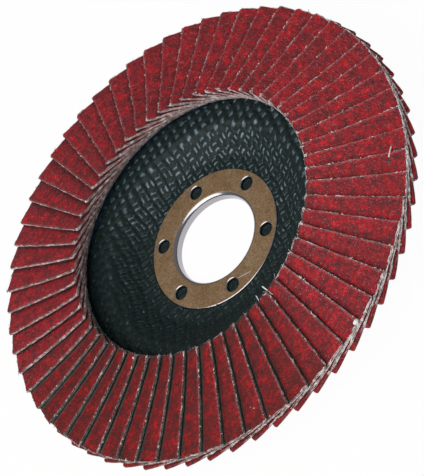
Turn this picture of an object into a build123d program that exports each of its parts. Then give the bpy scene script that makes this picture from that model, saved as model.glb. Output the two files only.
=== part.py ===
from build123d import *
import os
from math import asin, atan2, degrees, hypot, radians, tan

# A flap disc that lies on the back of its hub, with the abrasive side up.
# The origin is on the bore's axis, in the plane of the hub's back face. Sizes in mm.

# Flaps: rectangles of coated cloth, shingled round the rim
disc_d = 115.0            # circle through the free outer corners of the flaps
flap_count = 60
flaps_per_node = 2
flap_length = 24.0        # radial length of a flap
flap_width = 18.0         # across the flap, from its buried edge to its free edge
flap_lead = 6.0           # from the flap's radial centre line to its free edge
flap_t = 0.75             # cloth and grain together
layer_gap = 0.1           # upright clearance between two flaps, over the lower one's buried edge
layer_fan = 0.09          # the clearance opens by this for each pitch away from that edge
first_flap_angle = 1.0    # of the first flap's centre line
flap_corner_r = 0.7

# Backing plate: one dished laminate
flap_overhang = 4.0       # how far the flaps' outer corners reach past the plate
plate_t = 2.4
hub_d = 43.0              # flat face at the bottom of the dish
dish_top_d = 57.0         # where the dish's wall meets the rim
dish_depth = 4.5
rim_angle = 2.0           # the rim falls outwards by this angle
bend_r = 2.6              # bends of the plate's upper face
plate_edge_r = 0.4

# Bore ring: one steel pressing
bore_d = 22.23
ring_d = 36.0
ring_t = 0.8
ring_proud = 0.25         # the flange stands this far above the hub
collar_t = 0.75
collar_stop = 0.25        # the collar ends this far above the hub's back
lip_r = 1.1
ring_edge_r = 0.3
ring_hole_count = 6
ring_hole_d = 3.3
hole_outset = 0.4425      # from the middle of the flange's width out to the holes' circle
ring_hole_edge_r = 0.35
hole_edge_land = 0.03     # flat left between a hole's rounded edge and the flange's own bends
ring_turn = 3.7           # of the first small hole
ring_gap = 0.05           # between the ring and its seat
plug_gap = 0.08           # between a resin plug and its hole
plug_drop = 0.45          # the plugs end this far below the flange's face

# Adhesive bed on the rim
bed_t = 0.25
bed_margin = 0.7          # how far the bed stops inside the plate's edge
bed_start = 1.0           # how far the bed starts outside the flaps' inner circle
bond_gap = 0.04           # each side of the bed
seat_gap = 0.05           # under a flap's buried edge

# The flap's surface is a grid of points, fine enough for its slight twist
grid_along = 9
grid_across = 7
surface_tol = 0.005

disc_r = disc_d / 2
plate_r = disc_r - flap_overhang
pitch = 360 / flap_count
flap_out = (disc_r ** 2 - flap_lead ** 2) ** 0.5
flap_in = flap_out - flap_length
flap_tail = flap_width - flap_lead
bore_r = bore_d / 2
ring_r = ring_d / 2
ring_top = plate_t + ring_proud
ring_under = ring_top - ring_t
hole_circle_r = (bore_r + ring_r) / 2 + hole_outset
hole_in = hole_circle_r - ring_hole_d / 2
hole_out = hole_circle_r + ring_hole_d / 2
hole_wall = min(hole_in - bore_r - lip_r, ring_r - ring_edge_r - hole_out)
dish_top_r = dish_top_d / 2
rim_slope = tan(radians(rim_angle))
bed_in_r = flap_in + bed_start
bed_out_r = plate_r - bed_margin
cutter_h = 4 * plate_t    # tall enough to cut right through the hub


def plate_top(r):
    """Height of the plate's upper face on its rim, at the radius r."""
    return plate_t + dish_depth - (r - dish_top_r) * rim_slope


def bed_top(r):
    return plate_top(r) + bond_gap + bed_t


def climb(turns):
    """How far a flap has climbed, so many pitches from its buried edge.

    Each pitch is one layer, and the layers open like a fan towards the free edge.
    """
    return (flap_t + layer_gap) * turns + layer_fan * turns * (turns - 1) / 2


def flap_under(x, y):
    """Height of a flap's underside, at x along its centre line and y across it."""
    r = hypot(x, y)
    turn_from_tail = degrees(atan2(y, x) + asin(flap_tail / r))
    return bed_top(r) + seat_gap + climb(turn_from_tail / pitch)


def steps(first, last, count):
    return [first + (last - first) * i / (count - 1) for i in range(count)]


def flap_solid():
    """One flap on the X axis, with its free edge on the +Y side."""
    rows = []
    for x in steps(flap_in, flap_out, grid_along):
        rows.append([(x, y, flap_under(x, y)) for y in steps(-flap_tail, flap_lead, grid_across)])
    under = Face.make_surface_from_array_of_points(rows, tol=surface_tol)
    flap = extrude(under, amount=flap_t, dir=(0, 0, 1))
    return fillet(flap.edges().filter_by(Axis.Z), flap_corner_r)


def flap_pair(first, flap):
    """Neighbouring flaps, as separate solids of one node."""
    flaps = []
    for i in range(first, first + flaps_per_node):
        flaps.append(Rot(0, 0, first_flap_angle + i * pitch) * flap)
    return Compound(children=flaps)


def backing_plate():
    """Woven laminate: flat hub, dished wall and a rim that falls outwards."""
    hub_r = hub_d / 2
    # The upper face in section. Its start lies inside the bore, which is cut afterwards.
    upper = FilletPolyline(
        (bore_r / 2, plate_t),
        (hub_r, plate_t),
        (dish_top_r, plate_top(dish_top_r)),
        (plate_r, plate_top(plate_r)),
        radius=bend_r,
    )
    section = make_face(offset(upper, amount=plate_t, side=Side.RIGHT, closed=True))
    plate = revolve(Plane.XZ * section, Axis.Z)
    rim_edges = plate.edges().filter_by(GeomType.CIRCLE).filter_by(lambda e: e.radius > plate_r - plate_t)
    plate = fillet(rim_edges, plate_edge_r)
    plate -= Cylinder(bore_r + collar_t + ring_gap, cutter_h)
    # The flange's recess, then the resin plugs that key into the ring's holes
    recess = Cylinder(ring_r + ring_gap, plate_t, align=(Align.CENTER, Align.CENTER, Align.MIN))
    recess_floor = ring_under - ring_gap
    plate -= Pos(0, 0, recess_floor) * recess
    plug_h = ring_top - plug_drop - recess_floor
    plug = Cylinder(
        ring_hole_d / 2 - plug_gap, plug_h, align=(Align.CENTER, Align.CENTER, Align.MIN)
    )
    for place in ring_hole_places():
        plate += place * Pos(0, 0, recess_floor) * plug
    return plate


def ring_hole_places():
    places = PolarLocations(hole_circle_r, ring_hole_count, start_angle=ring_turn)
    return [Location(place.position) for place in places]


def arbor_ring():
    """Flange and collar of one thickness of sheet, with a rolled lip at the bore."""
    flange = Pos(0, 0, ring_under) * Cylinder(
        ring_r, ring_t, align=(Align.CENTER, Align.CENTER, Align.MIN)
    )
    collar_h = ring_top - collar_stop
    collar = Pos(0, 0, collar_stop) * Cylinder(
        bore_r + collar_t, collar_h, align=(Align.CENTER, Align.CENTER, Align.MIN)
    )
    ring = flange + collar - Cylinder(bore_r, cutter_h)
    top_edges = ring.edges().filter_by(GeomType.CIRCLE).group_by(Axis.Z)[-1]
    ring = fillet(top_edges.sort_by(SortBy.RADIUS)[0], lip_r)
    top_edges = ring.edges().filter_by(GeomType.CIRCLE).group_by(Axis.Z)[-1]
    ring = fillet(top_edges.sort_by(SortBy.RADIUS)[-1], ring_edge_r)
    for place in ring_hole_places():
        ring -= place * Cylinder(ring_hole_d / 2, cutter_h)
    hole_rims = []
    for edge in ring.edges().filter_by(GeomType.CIRCLE).group_by(Axis.Z)[-1]:
        if edge.radius < bore_r / 2:
            hole_rims.append(edge)
    return fillet(hole_rims, min(ring_hole_edge_r, hole_wall - hole_edge_land))


def adhesive_bed():
    """A band of resin of one thickness on the plate's rim."""
    under_in = plate_top(bed_in_r) + bond_gap
    under_out = plate_top(bed_out_r) + bond_gap
    section = make_face(Polyline(
        (bed_in_r, under_in),
        (bed_out_r, under_out),
        (bed_out_r, under_out + bed_t),
        (bed_in_r, under_in + bed_t),
        close=True,
    ))
    return revolve(Plane.XZ * section, Axis.Z)


def write(name, shape):
    export_step(shape, f"parts/{name}.step")


os.makedirs("parts", exist_ok=True)
write("backing_plate", backing_plate())
write("arbor_ring", arbor_ring())
write("adhesive_bed", adhesive_bed())
one_flap = flap_solid()
for node in range(flap_count // flaps_per_node):
    write(f"flap_pair_{node + 1:02d}", flap_pair(node * flaps_per_node, one_flap))
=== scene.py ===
import bpy
import numpy as np
from mathutils import Matrix


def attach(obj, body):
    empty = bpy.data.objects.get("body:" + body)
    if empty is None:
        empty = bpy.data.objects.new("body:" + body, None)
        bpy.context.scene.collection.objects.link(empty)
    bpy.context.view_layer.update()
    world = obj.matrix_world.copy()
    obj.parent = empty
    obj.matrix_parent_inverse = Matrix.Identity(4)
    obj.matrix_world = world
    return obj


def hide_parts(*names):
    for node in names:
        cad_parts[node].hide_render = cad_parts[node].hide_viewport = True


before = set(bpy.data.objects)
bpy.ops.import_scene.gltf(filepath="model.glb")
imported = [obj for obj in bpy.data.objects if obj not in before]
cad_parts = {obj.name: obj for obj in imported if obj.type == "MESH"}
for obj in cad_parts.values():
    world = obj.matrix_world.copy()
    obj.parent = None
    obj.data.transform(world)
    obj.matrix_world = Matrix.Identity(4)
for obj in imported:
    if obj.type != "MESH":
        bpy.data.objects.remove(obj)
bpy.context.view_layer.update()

# A flap disc that lies on the back of its hub, abrasive side up.
# Sizes are in millimetres here, and meshes are written in metres.
mm = 0.001
scene = bpy.context.scene
scene.view_settings.view_transform = "Standard"


def linear(hexColour):
    # sRGB hex to the linear colour that Blender works in
    channel = np.array([int(hexColour[i:i + 2], 16) for i in (1, 3, 5)]) / 255
    value = np.where(channel <= 0.04045, channel / 12.92, ((channel + 0.055) / 1.055) ** 2.4)
    return (*[float(v) for v in value], 1.0)


def addNode(tree, kind, settings=None, inputs=None, stops=None):
    # adds one shader node; an input is a value, another node's output, or the node itself, which
    # stands for its first output in use
    made = tree.nodes.new("ShaderNode" + kind)
    for name, value in (settings or {}).items():
        setattr(made, name, value)
    for name, value in (inputs or {}).items():
        if isinstance(value, bpy.types.Node):
            value = next(output for output in value.outputs if output.enabled)
        if isinstance(value, bpy.types.NodeSocket):
            tree.links.new(value, made.inputs[name])
        else:
            made.inputs[name].default_value = value
    for i, (place, colour) in enumerate(stops or []):
        elements = made.color_ramp.elements
        element = elements[i] if i < 2 else elements.new(place)
        element.position = place
        element.color = linear(colour)
    return made


def newMaterial(name):
    material = bpy.data.materials.new(name)
    material.use_nodes = True
    material.node_tree.nodes.clear()
    return material, material.node_tree


def finishMaterial(material, shader):
    addNode(material.node_tree, "OutputMaterial", inputs={"Surface": shader})
    return material


def makePiece(name, points, faces, materials, faceMaterial=None, uv=None, values=None):
    # points in mm, faces a list of arrays with 3 or 4 corners, uv one pair per face corner;
    # values are named numbers, one per point, that the materials read
    mesh = bpy.data.meshes.new(name)
    corners = np.concatenate([f.ravel() for f in faces]).astype(np.int32)
    sizes = np.concatenate([np.full(len(f), f.shape[1]) for f in faces])
    starts = np.concatenate([[0], np.cumsum(sizes)[:-1]]).astype(np.int32)
    mesh.vertices.add(len(points))
    mesh.vertices.foreach_set("co", (points * mm).astype(np.float32).ravel())
    mesh.loops.add(len(corners))
    mesh.loops.foreach_set("vertex_index", corners)
    mesh.polygons.add(len(starts))
    mesh.polygons.foreach_set("loop_start", starts)
    mesh.polygons.foreach_set("use_smooth", np.ones(len(starts), bool))
    for material in materials:
        mesh.materials.append(material)
    if faceMaterial is not None:
        mesh.polygons.foreach_set("material_index", faceMaterial.astype(np.int32))
    if uv is not None:
        mesh.uv_layers.new(name="pieceUv").data.foreach_set("uv", uv.astype(np.float32).ravel())
    for label, numbers in (values or {}).items():
        numbers = numbers.astype(np.float32)
        mesh.attributes.new(label, "FLOAT", "POINT").data.foreach_set("value", numbers)
    mesh.update(calc_edges=True)
    mesh.validate()
    piece = bpy.data.objects.new(name, mesh)
    scene.collection.objects.link(piece)
    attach(piece, "root")
    return piece


def gridFaces(rows, columns, closeRows=False, closeColumns=False, first=0):
    # quads between the neighbouring points of a grid, with either direction joined up
    i = np.arange(rows if closeRows else rows - 1)[:, None]
    j = np.arange(columns if closeColumns else columns - 1)[None]
    i2, j2 = (i + 1) % rows, (j + 1) % columns
    quads = np.stack([i * columns + j, i * columns + j2, i2 * columns + j2, i2 * columns + j], -1)
    return quads.reshape(-1, 4) + first


def closedFaces(count, rings, sides, first=0):
    # faces of like bodies whose points follow one another: rings of points, then one at each end
    j = np.arange(sides)
    j2 = (j + 1) % sides
    pole, last = rings * sides, (rings - 1) * sides
    low = np.stack([np.full(sides, pole), j2, j], -1)
    high = np.stack([np.full(sides, pole + 1), last + j, last + j2], -1)
    start = first + np.arange(count)[:, None, None] * (pole + 2)
    quads = gridFaces(rings, sides, closeColumns=True)[None] + start
    caps = np.concatenate([low, high])[None] + start
    return quads.reshape(-1, 4), caps.reshape(-1, 3)


def smoothNoise(rng, count, reach, closed=False):
    # random numbers averaged over their neighbours, scaled to a spread of 1
    raw = rng.standard_normal(count + 6 * reach)
    kernel = np.hanning(2 * reach + 3)[1:-1]
    if closed:
        raw = np.concatenate([raw[:count], raw[:count], raw[:count]])
        value = np.convolve(raw, kernel, "same")[count:2 * count]
    else:
        value = np.convolve(raw, kernel, "same")[3 * reach:3 * reach + count]
    return value / max(value.std(), 1e-6)


def tubes(paths, radii, sides, first=0):
    # round threads: a ring of points about each path point, and a pole point at each end
    # paths (threads, stations, 3), radii (threads, stations)
    threads, stations = paths.shape[:2]
    along = np.gradient(paths, axis=1)
    along /= np.linalg.norm(along, axis=-1, keepdims=True) + 1e-9
    chord = paths[:, -1] - paths[:, 0]
    helper = np.where(np.abs(chord[:, 2:3]) > 0.7 * np.linalg.norm(chord, axis=1, keepdims=True),
                      np.array([[1.0, 0.2, 0.0]]), np.array([[0.05, 0.1, 1.0]]))
    side = np.cross(along, helper[:, None])
    side /= np.linalg.norm(side, axis=-1, keepdims=True) + 1e-9
    other = np.cross(along, side)
    turn = np.linspace(0, 2 * np.pi, sides, endpoint=False)
    ring = (side[:, :, None] * np.cos(turn)[None, None, :, None]
            + other[:, :, None] * np.sin(turn)[None, None, :, None])
    ringPoints = paths[:, :, None] + ring * radii[:, :, None, None]
    poles = np.stack([paths[:, 0] - along[:, 0] * radii[:, :1],
                      paths[:, -1] + along[:, -1] * radii[:, -1:]], 1)
    points = np.concatenate([ringPoints.reshape(threads, -1, 3), poles], 1)
    quads, caps = closedFaces(threads, stations, sides, first)
    return points.reshape(-1, 3), quads[:, ::-1], caps[:, ::-1]


view = {
    "place": (-0.253, -337.575, 342.342),
    "aim": (-0.267, 0.394, 2.65),
    "roll": -56.558,      # degrees about the line of sight
    "lens": 153.96, "sensor": 36,
    "near": 0.02, "far": 50,      # metres
}


def stand(made, place, back, roll=0.0):
    # puts a camera or a lamp in its place, looking against back, level but for its roll
    back = back / np.linalg.norm(back)
    level = np.cross([0, 0, 1.0], back)
    level /= np.linalg.norm(level)
    upright = np.cross(back, level)
    c, s = np.cos(roll), np.sin(roll)
    right, up = level * c + upright * s, upright * c - level * s
    rows = [(*axes, at * mm) for *axes, at in zip(right, up, back, place)]
    made.matrix_world = Matrix([*rows, (0, 0, 0, 1)])
    scene.collection.objects.link(made)


def addCamera():
    data = bpy.data.cameras.new("camera")
    data.lens = view["lens"]
    data.sensor_width = view["sensor"]
    data.clip_start, data.clip_end = view["near"], view["far"]
    made = bpy.data.objects.new("camera", data)
    back = np.array(view["place"]) - np.array(view["aim"])
    stand(made, view["place"], back, np.radians(view["roll"]))
    scene.camera = made


light = {
    "azimuth": 206, "elevation": 54, "distance": 900, "side": 1100,   # softbox, mm
    "radiance": 2.2,
    "world": 0.24,
    "floorSide": 6000, "floorLevel": -0.1,
    "floorWhite": 0.968,   # how much of the floor is plain white to the camera
}


def addLight():
    azimuth, elevation = np.radians(light["azimuth"]), np.radians(light["elevation"])
    level = np.cos(elevation)
    away = np.array([level * np.cos(azimuth), level * np.sin(azimuth), np.sin(elevation)])
    lamp = bpy.data.lights.new("softbox", "AREA")
    lamp.shape = "SQUARE"
    lamp.size = light["side"] * mm
    lamp.energy = light["radiance"] * np.pi * (light["side"] * mm) ** 2
    stand(bpy.data.objects.new("softbox", lamp), away * light["distance"], away)

    world = bpy.data.worlds.new("studio")
    world.use_nodes = True
    world.node_tree.nodes.clear()
    sky = addNode(world.node_tree, "Background",
                  inputs={"Color": (1, 1, 1, 1), "Strength": light["world"]})
    addNode(world.node_tree, "OutputWorld", inputs={"Surface": sky})
    scene.world = world


def addFloor():
    # matt white board; a little of its own shade is kept so that the disc's shadow shows
    material, tree = newMaterial("whiteBoard")
    matt = addNode(tree, "BsdfDiffuse", inputs={"Color": linear("#f2f2f2")})
    glow = addNode(tree, "Emission", inputs={"Color": (1, 1, 1, 1), "Strength": 1.0})
    path = addNode(tree, "LightPath")
    seen = addNode(tree, "Math", {"operation": "MAXIMUM"},
                   {0: path.outputs["Is Camera Ray"], 1: path.outputs["Is Glossy Ray"]})
    seenToo = addNode(tree, "Math", {"operation": "MAXIMUM"},
                      {0: seen, 1: path.outputs["Is Transmission Ray"]})
    share = addNode(tree, "Math", {"operation": "MULTIPLY"}, {0: seenToo, 1: light["floorWhite"]})
    mixed = addNode(tree, "MixShader", inputs={0: share, 1: matt, 2: glow})
    finishMaterial(material, mixed)
    half = light["floorSide"] * mm / 2
    mesh = bpy.data.meshes.new("floor")
    level = light["floorLevel"] * mm
    corners = [(-half, -half), (half, -half), (half, half), (-half, half)]
    mesh.from_pydata([(*corner, level) for corner in corners], [], [(0, 1, 2, 3)])
    mesh.materials.append(material)
    made = bpy.data.objects.new("floor", mesh)
    scene.collection.objects.link(made)


addCamera()
addLight()
addFloor()
print("camera, light and floor are set")


disc = {
    "radius": 57.5, "flapCount": 60, "flapsPerPair": 2, "firstAngle": 1.0,
    "flapLength": 24.0, "flapLead": 6.0, "flapTail": 12.0, "flapThickness": 0.75,
    "layerGap": 0.1, "layerFan": 0.09, "cornerRadius": 0.7,
    "plateThickness": 2.4, "plateRadius": 53.5, "hubRadius": 21.5, "dishTopRadius": 28.5,
    "dishDepth": 4.5, "rimAngle": 2.0, "bendRadius": 2.6,
    "holeRadius": 11.915, "recessRadius": 18.05, "recessFloor": 1.8,
    "plugRadius": 1.57, "plugTop": 2.2, "plugCircle": 15.0, "plugTurn": 3.7,
    "bedTop": 0.34,       # upper side of the adhesive and a flap's seat, above the rim
}
flapOut = np.sqrt(disc["radius"] ** 2 - disc["flapLead"] ** 2)
flapIn = flapOut - disc["flapLength"]
pitch = 360 / disc["flapCount"]


def rimTop(r):
    fall = (r - disc["dishTopRadius"]) * np.tan(np.radians(disc["rimAngle"]))
    return disc["plateThickness"] + disc["dishDepth"] - fall


def flapUnder(x, y):
    # height of a flap's underside: the bed, plus a layer for each pitch from its buried edge;
    # the layers open like a fan, so each one adds a little more than the last
    turn = np.degrees(np.arctan2(y, x) + np.arcsin(disc["flapTail"] / np.hypot(x, y))) / pitch
    climb = (disc["flapThickness"] + disc["layerGap"]) * turn
    climb = climb + disc["layerFan"] * turn * (turn - 1) / 2
    return rimTop(np.hypot(x, y)) + disc["bedTop"] + climb


def smoothStep(value, low, high):
    share = np.clip((value - low) / (high - low), 0, 1)
    return share * share * (3 - 2 * share)


flaps = {
    "alongCount": 41,
    "acrossCoarse": 6, "acrossFine": 13, "fineFrom": 0.0,   # the strip that shows has a finer grid
    "edgeStrip": 0.1,        # width of the grid's outermost cells
    "edgeInset": 0.045,      # the coat and the back stop this far inside the cut
    "reliefHeight": 0.03, "reliefSpread": 0.6,
    "curlInner": 0.03, "curlOuter": 0.07,
    "coatShare": 0.3,        # of the thickness is grain and its binder
    "runWidth": 0.8, "runFrom": -9.0, "runTo": -5.0,   # the coat has run down the outer end here
    # each flap's turn and lean in degrees and its shift outwards in mm rise and fall round the disc
    "turnWave": 0.74, "turnWaveAt": 213.5, "turnJitter": 0.07,
    "leanWave": 2.04, "leanWaveAt": 255.0, "leanJitter": 0.18,
    "shiftWave": 0.43, "shiftWaveAt": 106.0,
    # stretches of the disc, each as the azimuths where it sets in, is full, fades and ends
    "shadedSide": (148, 170, 246, 268),    # the coat and the cut are darker: painted shade on the side turned from the light
    "frayed": (190, 270, 335, 355),   # the outer end is frayed white
    "wideStepShade": (-30, 15, 95, 130),      # the painted shade in the steps lies wide here
    "narrowStepShade": 2.6,                # elsewhere it is narrower by this factor
    "coveredStep": -1.5, "noStepShade": 9,   # no painted shade this far under the next flap
}
# rows down a flap's cut edge: share of the thickness, how far it stands out, raggedness
edgeRows = np.array([
    (0.95, 0.00, 0.010),
    (0.76, 0.02, 0.015),
    (0.71, -0.02, 0.020),
    (0.60, 0.04, 0.030),
    (0.32, 0.05, 0.035),
    (0.06, 0.02, 0.020),
])
# yarns laid bare along the cuts: edge, share of the thickness, how far it stands out, how far
# it wanders out and up, radius, and how often it breaks off (a higher level breaks it more often)
bareYarns = [
    ("free", 0.36, 0.05, 0.015, 0.04, 0.150, -2.5),
    ("free", 0.68, 0.04, 0.020, 0.06, 0.130, -1.6),
    ("free", 0.93, -0.01, 0.020, 0.05, 0.090, 0.3),
    ("outer", 0.16, 0.03, 0.030, 0.06, 0.095, -0.2),
    ("outer", 0.42, 0.07, 0.035, 0.08, 0.130, -1.8),
    ("outer", 0.68, 0.08, 0.045, 0.10, 0.120, -0.9),
    ("outer", 0.95, 0.02, 0.050, 0.10, 0.100, -0.2),
    ("inner", 0.16, 0.04, 0.030, 0.06, 0.130, -0.9),
    ("inner", 0.44, 0.06, 0.030, 0.06, 0.150, -2.0),
    ("inner", 0.76, 0.05, 0.030, 0.10, 0.140, -0.9),
    ("inner", 1.12, 0.04, 0.035, 0.10, 0.110, 0.1),
]
yarns = {
    "stations": 43, "sides": 4,
    "endGap": (0.3, 0.4),            # from the flap's corners, along its length and across it
    "brokenRadius": 0.3,             # a broken stretch keeps this share of its radius
    "frayedWander": 0.6, "frayedRadius": 0.45, "frayedWhite": 0.55,
    "sideShadeOuter": 0.2,               # share of the painted shade that the outer end takes
    "wideStepShadeRadius": 0.65, "coatedRadius": 0.85, "coatedIn": 0.1,
    "evenness": (0.75, 0.25, 1.5),   # share of the radius, its spread and the most spreads off
    "loose": {"start": 0.2, "length": 5.5, "out": 0.02, "outWander": 0.04,
              "drop": 0.16, "upWander": 0.05, "radius": 0.14, "uneven": 0.02, "tone": 0.45},
}
ends = {
    "count": 150, "stations": 5, "sides": 3,
    "shares": (0.32, 0.20, 0.30, 0.18),   # free edge, inner end, outer end, free inner corner
    "sideShadeShare": 0.2, "frayedShare": 0.54,
    "tufts": 6, "tuftShare": 0.55, "tuftSpread": 0.018,
    "cornerSpread": 0.35, "outerReach": 0.72, "outerStand": 0.03,
    "outwards": (0.3, 0.35, 0.3, 0.5),    # how steeply they leave those cuts
    "cornerAlong": 0.6,
    "freeHeight": (0.65, 1.06), "endHeight": (0.35, 1.05), "sideShadeHeight": 0.2,
    "sway": 0.25, "rise": 0.22, "bend": (0.22, 0.22, 0.12),
    "leastLength": 0.14, "lengthShape": 2.2, "lengthScale": 0.13,
    "behind": 0.4,                        # share of an end that lies back along the cut
    "climbOver": 0.5,                     # the flap's climb is taken over this length
    "radius": (0.045, 0.115), "taper": (0.6, 1, 1, 0.9, 0.5), "thicker": 0.35,
    "white": -0.6, "sideShadeRange": 1.2,
}


def roundCorners(x, y, x0, x1, y0, y1, radius):
    # inside each corner's square, the square is mapped onto a quarter circle
    cx = np.clip(x, x0 + radius, x1 - radius)
    cy = np.clip(y, y0 + radius, y1 - radius)
    a, b = (x - cx) / radius, (y - cy) / radius
    return cx + a * np.sqrt(1 - b * b / 2) * radius, cy + b * np.sqrt(1 - a * a / 2) * radius


def flapAngle(k):
    return (disc["firstAngle"] + k * pitch) % 360


def shareOn(k, stretch):
    # 0 on a flap outside a stretch of the disc and 1 well inside it
    start, full, fading, end = flaps[stretch]
    turned = (flapAngle(k) - start) % 360
    return smoothStep(turned, 0, full - start) - smoothStep(turned, fading - start, end - start)


def flapPlace(k, rng):
    # how flap k lies: turn about the disc's axis, lean about its inner end, and shift outwards
    angle = flapAngle(k)
    wave = {name: flaps[name + "Wave"] * np.cos(np.radians(angle - flaps[name + "WaveAt"]))
            for name in ("turn", "lean", "shift")}
    turn = wave["turn"] + flaps["turnJitter"] * rng.standard_normal()
    lean = wave["lean"] + flaps["leanJitter"] * rng.standard_normal()
    return np.radians(angle + turn), np.radians(lean), wave["shift"]


def toDisc(x, y, z, place):
    # a flap's own plan, leaned about its inner end, shifted outwards, then turned to its place
    turn, lean, shift = place
    c, s = np.cos(lean), np.sin(lean)
    lx = flapIn + shift + (x - flapIn) * c - y * s
    ly = (x - flapIn) * s + y * c
    c, s = np.cos(turn), np.sin(turn)
    return np.stack([lx * c - ly * s, lx * s + ly * c, z], -1)


def coatRun(y):
    # 1 near the buried corner of the outer end, where the coat has run down the cut
    return 1 - smoothStep(y, flaps["runFrom"], flaps["runTo"])


def flapPlan():
    # grid of a flap's plan, with narrow cells along its edges and rounded corners
    lead, tail, strip = disc["flapLead"], disc["flapTail"], flaps["edgeStrip"]
    along = np.linspace(flapIn, flapOut, flaps["alongCount"])[1:-1]
    along = np.concatenate([[flapIn], [flapIn + strip], along, [flapOut - strip], [flapOut]])
    across = np.concatenate([
        [-tail, -tail + strip],
        np.linspace(-tail, flaps["fineFrom"], flaps["acrossCoarse"])[1:-1],
        np.linspace(flaps["fineFrom"], lead, flaps["acrossFine"])[:-1],
        [lead - strip, lead]])
    gridX, gridY = np.meshgrid(along, across, indexing="ij")
    return roundCorners(gridX, gridY, flapIn, flapOut, -tail, lead, disc["cornerRadius"])


def flapShape(k):
    # one flap: an upper and an under grid joined by rows down the cut edge, with its threads
    rng = np.random.default_rng(1000 + k)
    place = flapPlace(k, rng)
    sideShade, fray, wideStepShade = (shareOn(k, name) for name in ("shadedSide", "frayed", "wideStepShade"))
    lead, tail, thick = disc["flapLead"], disc["flapTail"], disc["flapThickness"]
    x, y = flapPlan()
    nx, ny = x.shape
    share = (x - flapIn) / disc["flapLength"]
    free = np.clip((y + tail) / (lead + tail), 0, 1)
    curl = rng.uniform(-1, 1, 2)
    lift = free ** 3 * ((1 - share) * flaps["curlInner"] * curl[0]
                        + share * flaps["curlOuter"] * curl[1])
    under = flapUnder(x, y) + lift
    relief = rng.standard_normal((nx, ny)) * flaps["reliefHeight"]
    spread = flaps["reliefSpread"]
    relief += spread * np.roll(relief, 1, 0) + spread * np.roll(relief, 1, 1)
    upper = under + thick + relief * free

    # the loop of grid points round the cut edge
    i, j = np.arange(nx), np.arange(ny)
    loopI = np.concatenate([i, np.full(ny - 1, nx - 1), i[::-1][1:], np.zeros(ny - 2, int)])
    loopJ = np.concatenate([np.zeros(nx, int), j[1:], np.full(nx - 1, ny - 1), j[::-1][1:-1]])
    loop = loopI * ny + loopJ
    lx, ly, lu = x.ravel()[loop], y.ravel()[loop], under.ravel()[loop]
    tx, ty = np.roll(lx, -1) - np.roll(lx, 1), np.roll(ly, -1) - np.roll(ly, 1)
    size = np.hypot(tx, ty)
    outX, outY = ty / size, -tx / size
    count = len(loop)
    x.ravel()[loop] -= outX * flaps["edgeInset"]
    y.ravel()[loop] -= outY * flaps["edgeInset"]
    rowX, rowY, rowZ = [], [], []
    for height, stand, ragged in edgeRows:
        reach = stand + ragged * smoothNoise(rng, count, 2, closed=True)
        rowX.append(lx + outX * reach)
        rowY.append(ly + outY * reach)
        rowZ.append(lu + height * thick + 0.5 * ragged * smoothNoise(rng, count, 1, closed=True))
    grid, rows = nx * ny, len(edgeRows)
    px = np.concatenate([x.ravel(), *rowX, x.ravel()])
    py = np.concatenate([y.ravel(), *rowY, y.ravel()])
    pz = np.concatenate([upper.ravel(), *rowZ, under.ravel()])

    top = gridFaces(nx, ny)
    bottom = top[:, ::-1] + grid + rows * count
    ring = np.stack([loop, *(grid + r * count + np.arange(count) for r in range(rows)),
                     loop + grid + rows * count])
    a, b = ring[:-1], ring[1:]
    wall = np.stack([a, np.roll(a, -1, 1), np.roll(b, -1, 1), b], -1)[..., ::-1].reshape(-1, 4)
    heights = np.concatenate([[1.0], edgeRows[:, 0], [0.0]])
    middle = (heights[:-1] + heights[1:]) / 2
    run = np.where(lx > flapOut - flaps["runWidth"], coatRun(ly), 0)
    coated = (middle[:, None] > 1 - flaps["coatShare"]) | (run[None] > 0.5)
    finish = np.concatenate([np.zeros(len(top)), np.where(coated, 0, 1).ravel(),
                             np.full(len(bottom), 2)])
    # tone: painted shade on the flaps of the side turned from the light, less on the cut where the
    # coat has run
    tone = np.concatenate([np.full(grid, sideShade), *[sideShade * (1 - run)] * rows, np.full(grid, sideShade)])

    # distance in mm from the line where the next flap's free edge crosses this one, in its own
    # plan, for the painted shade in the step; stretched on the flaps where that shade is narrower
    turn = np.radians(pitch)
    step = py - lead * np.cos(turn) + (px - lead * np.sin(turn)) * np.tan(turn)
    step = step * (flaps["narrowStepShade"] - (flaps["narrowStepShade"] - 1) * wideStepShade)
    step[step < flaps["coveredStep"]] = flaps["noStepShade"]

    # corner UVs in mm: plan on the faces, length and height on the cut edge; each flap has its
    # own patch of the pattern
    patch = np.array([100.0 * k, 0.0])
    plan = np.stack([x.ravel(), y.ravel()], -1) + patch
    length = np.concatenate([[0], np.cumsum(np.hypot(np.diff(lx), np.diff(ly)))])
    lengthEnd = length[-1] + np.hypot(lx[0] - lx[-1], ly[0] - ly[-1])
    u0, u1 = length, np.append(length[1:], lengthEnd)
    wallUv = np.zeros((rows + 1, count, 4, 2))
    wallUv[..., 0] = np.stack([u0, u1, u1, u0], -1)
    wallUv[:, :, :2, 1] = heights[1:, None, None] * thick
    wallUv[:, :, 2:, 1] = heights[:-1, None, None] * thick
    uv = np.concatenate([plan[top].reshape(-1, 2), wallUv.reshape(-1, 2) + patch,
                         plan[bottom - grid - rows * count].reshape(-1, 2)])

    threadPoints, threadQuads, threadCaps, threadTone = flapThreads(place, sideShade, fray, wideStepShade, rng)
    return {
        "points": np.concatenate([toDisc(px, py, pz, place), threadPoints]),
        "quads": np.concatenate([top, wall, bottom]), "finish": finish, "uv": uv,
        "yarnQuads": threadQuads + len(px), "yarnCaps": threadCaps + len(px),
        "tone": np.concatenate([tone, threadTone]), "step": np.concatenate([step, 0 * threadTone]),
    }


def flapThreads(place, sideShade, fray, wideStepShade, rng):
    # yarns laid bare along the cut edges, then the short ends that stand out of them
    long, longTone = longYarns(place, sideShade, fray, wideStepShade, rng)
    short, shortTone = shortEnds(place, sideShade, fray, rng, len(long[0]))
    tone = np.concatenate([longTone, shortTone])
    return *(np.concatenate(pair) for pair in zip(long, short)), tone


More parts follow.
